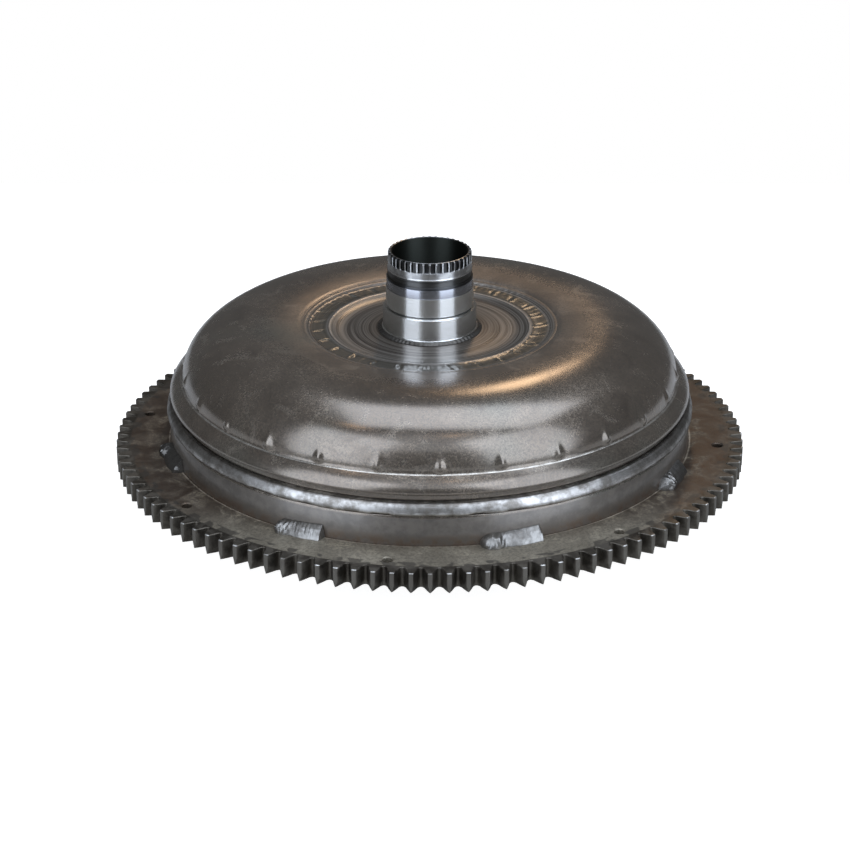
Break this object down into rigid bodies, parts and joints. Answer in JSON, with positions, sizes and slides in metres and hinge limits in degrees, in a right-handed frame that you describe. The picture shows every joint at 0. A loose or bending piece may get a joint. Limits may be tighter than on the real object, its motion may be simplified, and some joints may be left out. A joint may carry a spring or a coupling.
{
  "type": "torque converter",
  "caption": "Welded torque converter with a starter ring gear, a dished impeller shell and a splined pump-drive hub.",
  "frame": {"origin": "centre of the crankshaft pilot's end face, the lowest point of the part", "axes": "+Z along the rotation axis from the engine towards the transmission; a starter tooth faces -Y"},
  "size_m": [0.2946, 0.2946, 0.1193],
  "materials": {
    "housing_steel": "dark heat-tinted steel, worn satin, with oil stain and fine scratches",
    "gear_steel": "dark hardened steel with a dusty brown film, worn bright on the tooth edges",
    "machined_steel": "turned and ground, bright",
    "weld_metal": "rippled weld bead, satin",
    "stamped_steel": "stamped sheet, oily",
    "bearing_steel": "ground and polished",
    "spring_steel": "blued wire",
    "bronze": "oily bearing bronze",
    "cage_brass": "stamped cage",
    "cast_aluminium": "fine cast skin",
    "seal_rubber": "smooth black",
    "friction_paper": "porous brown friction paper"
  },
  "bodies": {
    "housing": {"front_cover": "housing_steel", "crankshaft_pilot": "machined_steel", "pilot_weld": "weld_metal", "flexplate_nuts": "machined_steel", "balance_weight": "stamped_steel", "ring_gear": "gear_steel", "ring_gear_welds": "weld_metal", "impeller_shell": "housing_steel", "closure_weld": "weld_metal", "impeller_hub": "machined_steel", "hub_weld": "weld_metal", "impeller_blades": "stamped_steel", "impeller_core_ring": "stamped_steel", "impeller_bearing_race": "bearing_steel"},
    "turbine": {"turbine_shell": "stamped_steel", "turbine_blades": "stamped_steel", "turbine_core_ring": "stamped_steel", "turbine_hub": "machined_steel", "turbine_rivets": "stamped_steel", "turbine_bearing_race": "bearing_steel", "piston_seal_ring": "seal_rubber", "cover_thrust_washer": "bronze", "damper_driven_plate": "stamped_steel"},
    "damper_drive": {"damper_drive_plate": "stamped_steel", "damper_springs": "spring_steel"},
    "piston": {"lockup_piston": "stamped_steel", "friction_lining": "friction_paper"},
    "stator": {"stator_wheel": "cast_aluminium", "clutch_outer_race": "bearing_steel", "clutch_rollers": "bearing_steel", "clutch_springs": "spring_steel", "clutch_lower_plate": "bronze", "clutch_upper_plate": "bronze", "clutch_snap_ring": "spring_steel", "stator_lower_race": "bearing_steel", "stator_upper_race": "bearing_steel"},
    "clutch_race": {"clutch_inner_race": "bearing_steel"},
    "hub_bearing": {"hub_bearing_cage": "cage_brass", "hub_bearing_needles": "bearing_steel"},
    "turbine_bearing": {"turbine_bearing_cage": "cage_brass", "turbine_bearing_needles": "bearing_steel"}
  },
  "joints": [
    {"name": "turbine_spin", "type": "hinge", "parent": "housing", "child": "turbine", "pos_m": [0, 0, 0.032], "axis": [0, 0, 1], "continuous": true},
    {"name": "damper_twist", "type": "hinge", "parent": "turbine", "child": "damper_drive", "pos_m": [0, 0, 0.022], "axis": [0, 0, 1], "range_deg": [-5, 5]},
    {"name": "piston_slide", "type": "slide", "parent": "damper_drive", "child": "piston", "axis": [0, 0, 1], "range_m": [0, 0.0008]},
    {"name": "stator_spin", "type": "hinge", "parent": "housing", "child": "stator", "pos_m": [0, 0, 0.06], "axis": [0, 0, 1], "continuous": true},
    {"name": "clutch_race_spin", "type": "hinge", "parent": "stator", "child": "clutch_race", "pos_m": [0, 0, 0.06], "axis": [0, 0, 1], "continuous": true},
    {"name": "hub_bearing_spin", "type": "hinge", "parent": "housing", "child": "hub_bearing", "pos_m": [0, 0, 0.07245], "axis": [0, 0, 1], "continuous": true},
    {"name": "turbine_bearing_spin", "type": "hinge", "parent": "housing", "child": "turbine_bearing", "pos_m": [0, 0, 0.04705], "axis": [0, 0, 1], "continuous": true}
  ],
  "couplings": [
    {"joint": "hub_bearing_spin", "follows": "stator_spin", "ratio": 0.5},
    {"joint": "turbine_bearing_spin", "follows": "turbine_spin", "ratio": 0.5}
  ]
}
